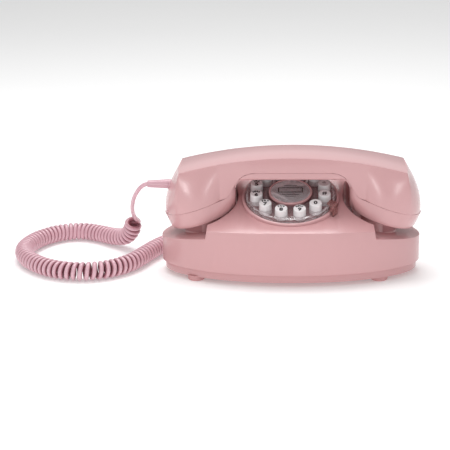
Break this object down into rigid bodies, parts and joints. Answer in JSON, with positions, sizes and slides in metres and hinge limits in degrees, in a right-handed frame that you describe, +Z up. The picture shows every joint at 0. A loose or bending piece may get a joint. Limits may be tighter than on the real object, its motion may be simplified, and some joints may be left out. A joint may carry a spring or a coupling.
{
  "type": "desk telephone",
  "caption": "Compact oval bedroom telephone with a sloping round dial of push keys and a handset lying over it on a curly cord.",
  "frame": {"origin": "on the table surface under the middle of the oval base", "axes": "+X to the right along the base and handset, +Y to the back, +Z up"},
  "size_m": [0.3485, 0.1511, 0.1035],
  "materials": {
    "pink_plastic": "glossy moulded plastic, soft pink",
    "base_plastic": "satin moulded plastic, deeper pink",
    "rubber": "matt",
    "steel": "satin",
    "dial_face": "matt",
    "clear_plastic": "clear, polished",
    "card": "matt printed card",
    "bright_metal": "polished",
    "key_rubber": "matt",
    "circuit_board": "satin",
    "key_plastic": "glossy, white with dark legends",
    "dark_plastic": "matt",
    "pale_plastic": "satin",
    "cord_plastic": "satin, soft pink"
  },
  "bodies": {
    "base": {"base_plate": "base_plastic", "housing": "pink_plastic", "rubber_feet": "rubber", "housing_screws": "steel", "dial_bezel": "pink_plastic", "dial_plate": "dial_face", "finger_wheel": "clear_plastic", "card_holder": "pink_plastic", "number_card": "card", "card_window": "clear_plastic", "finger_stop": "bright_metal", "key_mat": "key_rubber", "key_board": "circuit_board", "key_board_screws": "steel", "main_board": "circuit_board", "main_board_screws": "steel", "hook_switch": "dark_plastic", "hook_spring": "steel", "handset_jack": "pale_plastic", "line_jack": "pale_plastic", "ringer": "dark_plastic", "ballast_weights": "steel", "ringer_switch": "dark_plastic", "tone_switch": "dark_plastic", "cord_lead": "cord_plastic", "cord_coil": "cord_plastic", "cord_tail": "cord_plastic", "cord_plug": "clear_plastic"},
    "hook": {"hook_yoke": "pale_plastic", "hook_plungers": "clear_plastic"},
    "key_1_body": {"key_1": "key_plastic"},
    "key_2_body": {"key_2": "key_plastic"},
    "key_3_body": {"key_3": "key_plastic"},
    "key_4_body": {"key_4": "key_plastic"},
    "key_5_body": {"key_5": "key_plastic"},
    "key_6_body": {"key_6": "key_plastic"},
    "key_7_body": {"key_7": "key_plastic"},
    "key_8_body": {"key_8": "key_plastic"},
    "key_9_body": {"key_9": "key_plastic"},
    "key_0_body": {"key_0": "key_plastic"},
    "key_star_body": {"key_star": "key_plastic"},
    "key_hash_body": {"key_hash": "key_plastic"},
    "ringer_knob": {"ringer_switch_knob": "pale_plastic"},
    "tone_knob": {"tone_switch_knob": "pale_plastic"},
    "handset": {"handset_shell": "pink_plastic", "handset_inner_shell": "pink_plastic", "receiver": "dark_plastic", "transmitter": "dark_plastic", "handset_weight": "steel", "handset_screws": "steel", "strain_relief": "cord_plastic"}
  },
  "joints": [
    {"name": "handset_lift", "type": "slide", "parent": "base", "child": "handset", "axis": [0, 0, 1], "range_m": [0, 0.06], "deforming": ["cord_lead"]},
    {"name": "hook_plunge", "type": "slide", "parent": "base", "child": "hook", "axis": [0, 0, 1], "range_m": [0, 0.004], "deforming": ["hook_spring"]},
    {"name": "key_1_press", "type": "slide", "parent": "base", "child": "key_1_body", "axis": [0, 0.3616, -0.9323], "range_m": [0, 0.0018], "stiffness_N_per_m": 300, "springref_m": -0.0006},
    {"name": "key_2_press", "type": "slide", "parent": "base", "child": "key_2_body", "axis": [0, 0.3616, -0.9323], "range_m": [0, 0.0018], "stiffness_N_per_m": 300, "springref_m": -0.0006},
    {"name": "key_3_press", "type": "slide", "parent": "base", "child": "key_3_body", "axis": [0, 0.3616, -0.9323], "range_m": [0, 0.0018], "stiffness_N_per_m": 300, "springref_m": -0.0006},
    {"name": "key_4_press", "type": "slide", "parent": "base", "child": "key_4_body", "axis": [0, 0.3616, -0.9323], "range_m": [0, 0.0018], "stiffness_N_per_m": 300, "springref_m": -0.0006},
    {"name": "key_5_press", "type": "slide", "parent": "base", "child": "key_5_body", "axis": [0, 0.3616, -0.9323], "range_m": [0, 0.0018], "stiffness_N_per_m": 300, "springref_m": -0.0006},
    {"name": "key_6_press", "type": "slide", "parent": "base", "child": "key_6_body", "axis": [0, 0.3616, -0.9323], "range_m": [0, 0.0018], "stiffness_N_per_m": 300, "springref_m": -0.0006},
    {"name": "key_7_press", "type": "slide", "parent": "base", "child": "key_7_body", "axis": [0, 0.3616, -0.9323], "range_m": [0, 0.0018], "stiffness_N_per_m": 300, "springref_m": -0.0006},
    {"name": "key_8_press", "type": "slide", "parent": "base", "child": "key_8_body", "axis": [0, 0.3616, -0.9323], "range_m": [0, 0.0018], "stiffness_N_per_m": 300, "springref_m": -0.0006},
    {"name": "key_9_press", "type": "slide", "parent": "base", "child": "key_9_body", "axis": [0, 0.3616, -0.9323], "range_m": [0, 0.0018], "stiffness_N_per_m": 300, "springref_m": -0.0006},
    {"name": "key_0_press", "type": "slide", "parent": "base", "child": "key_0_body", "axis": [0, 0.3616, -0.9323], "range_m": [0, 0.0018], "stiffness_N_per_m": 300, "springref_m": -0.0006},
    {"name": "key_star_press", "type": "slide", "parent": "base", "child": "key_star_body", "axis": [0, 0.3616, -0.9323], "range_m": [0, 0.0018], "stiffness_N_per_m": 300, "springref_m": -0.0006},
    {"name": "key_hash_press", "type": "slide", "parent": "base", "child": "key_hash_body", "axis": [0, 0.3616, -0.9323], "range_m": [0, 0.0018], "stiffness_N_per_m": 300, "springref_m": -0.0006},
    {"name": "ringer_switch_slide", "type": "slide", "parent": "base", "child": "ringer_knob", "axis": [1, 0, 0], "range_m": [0, 0.004]},
    {"name": "tone_switch_slide", "type": "slide", "parent": "base", "child": "tone_knob", "axis": [1, 0, 0], "range_m": [0, 0.004]}
  ],
  "couplings": [
    {"joint": "hook_plunge", "follows": "handset_lift", "ratio": 0.0666}
  ]
}
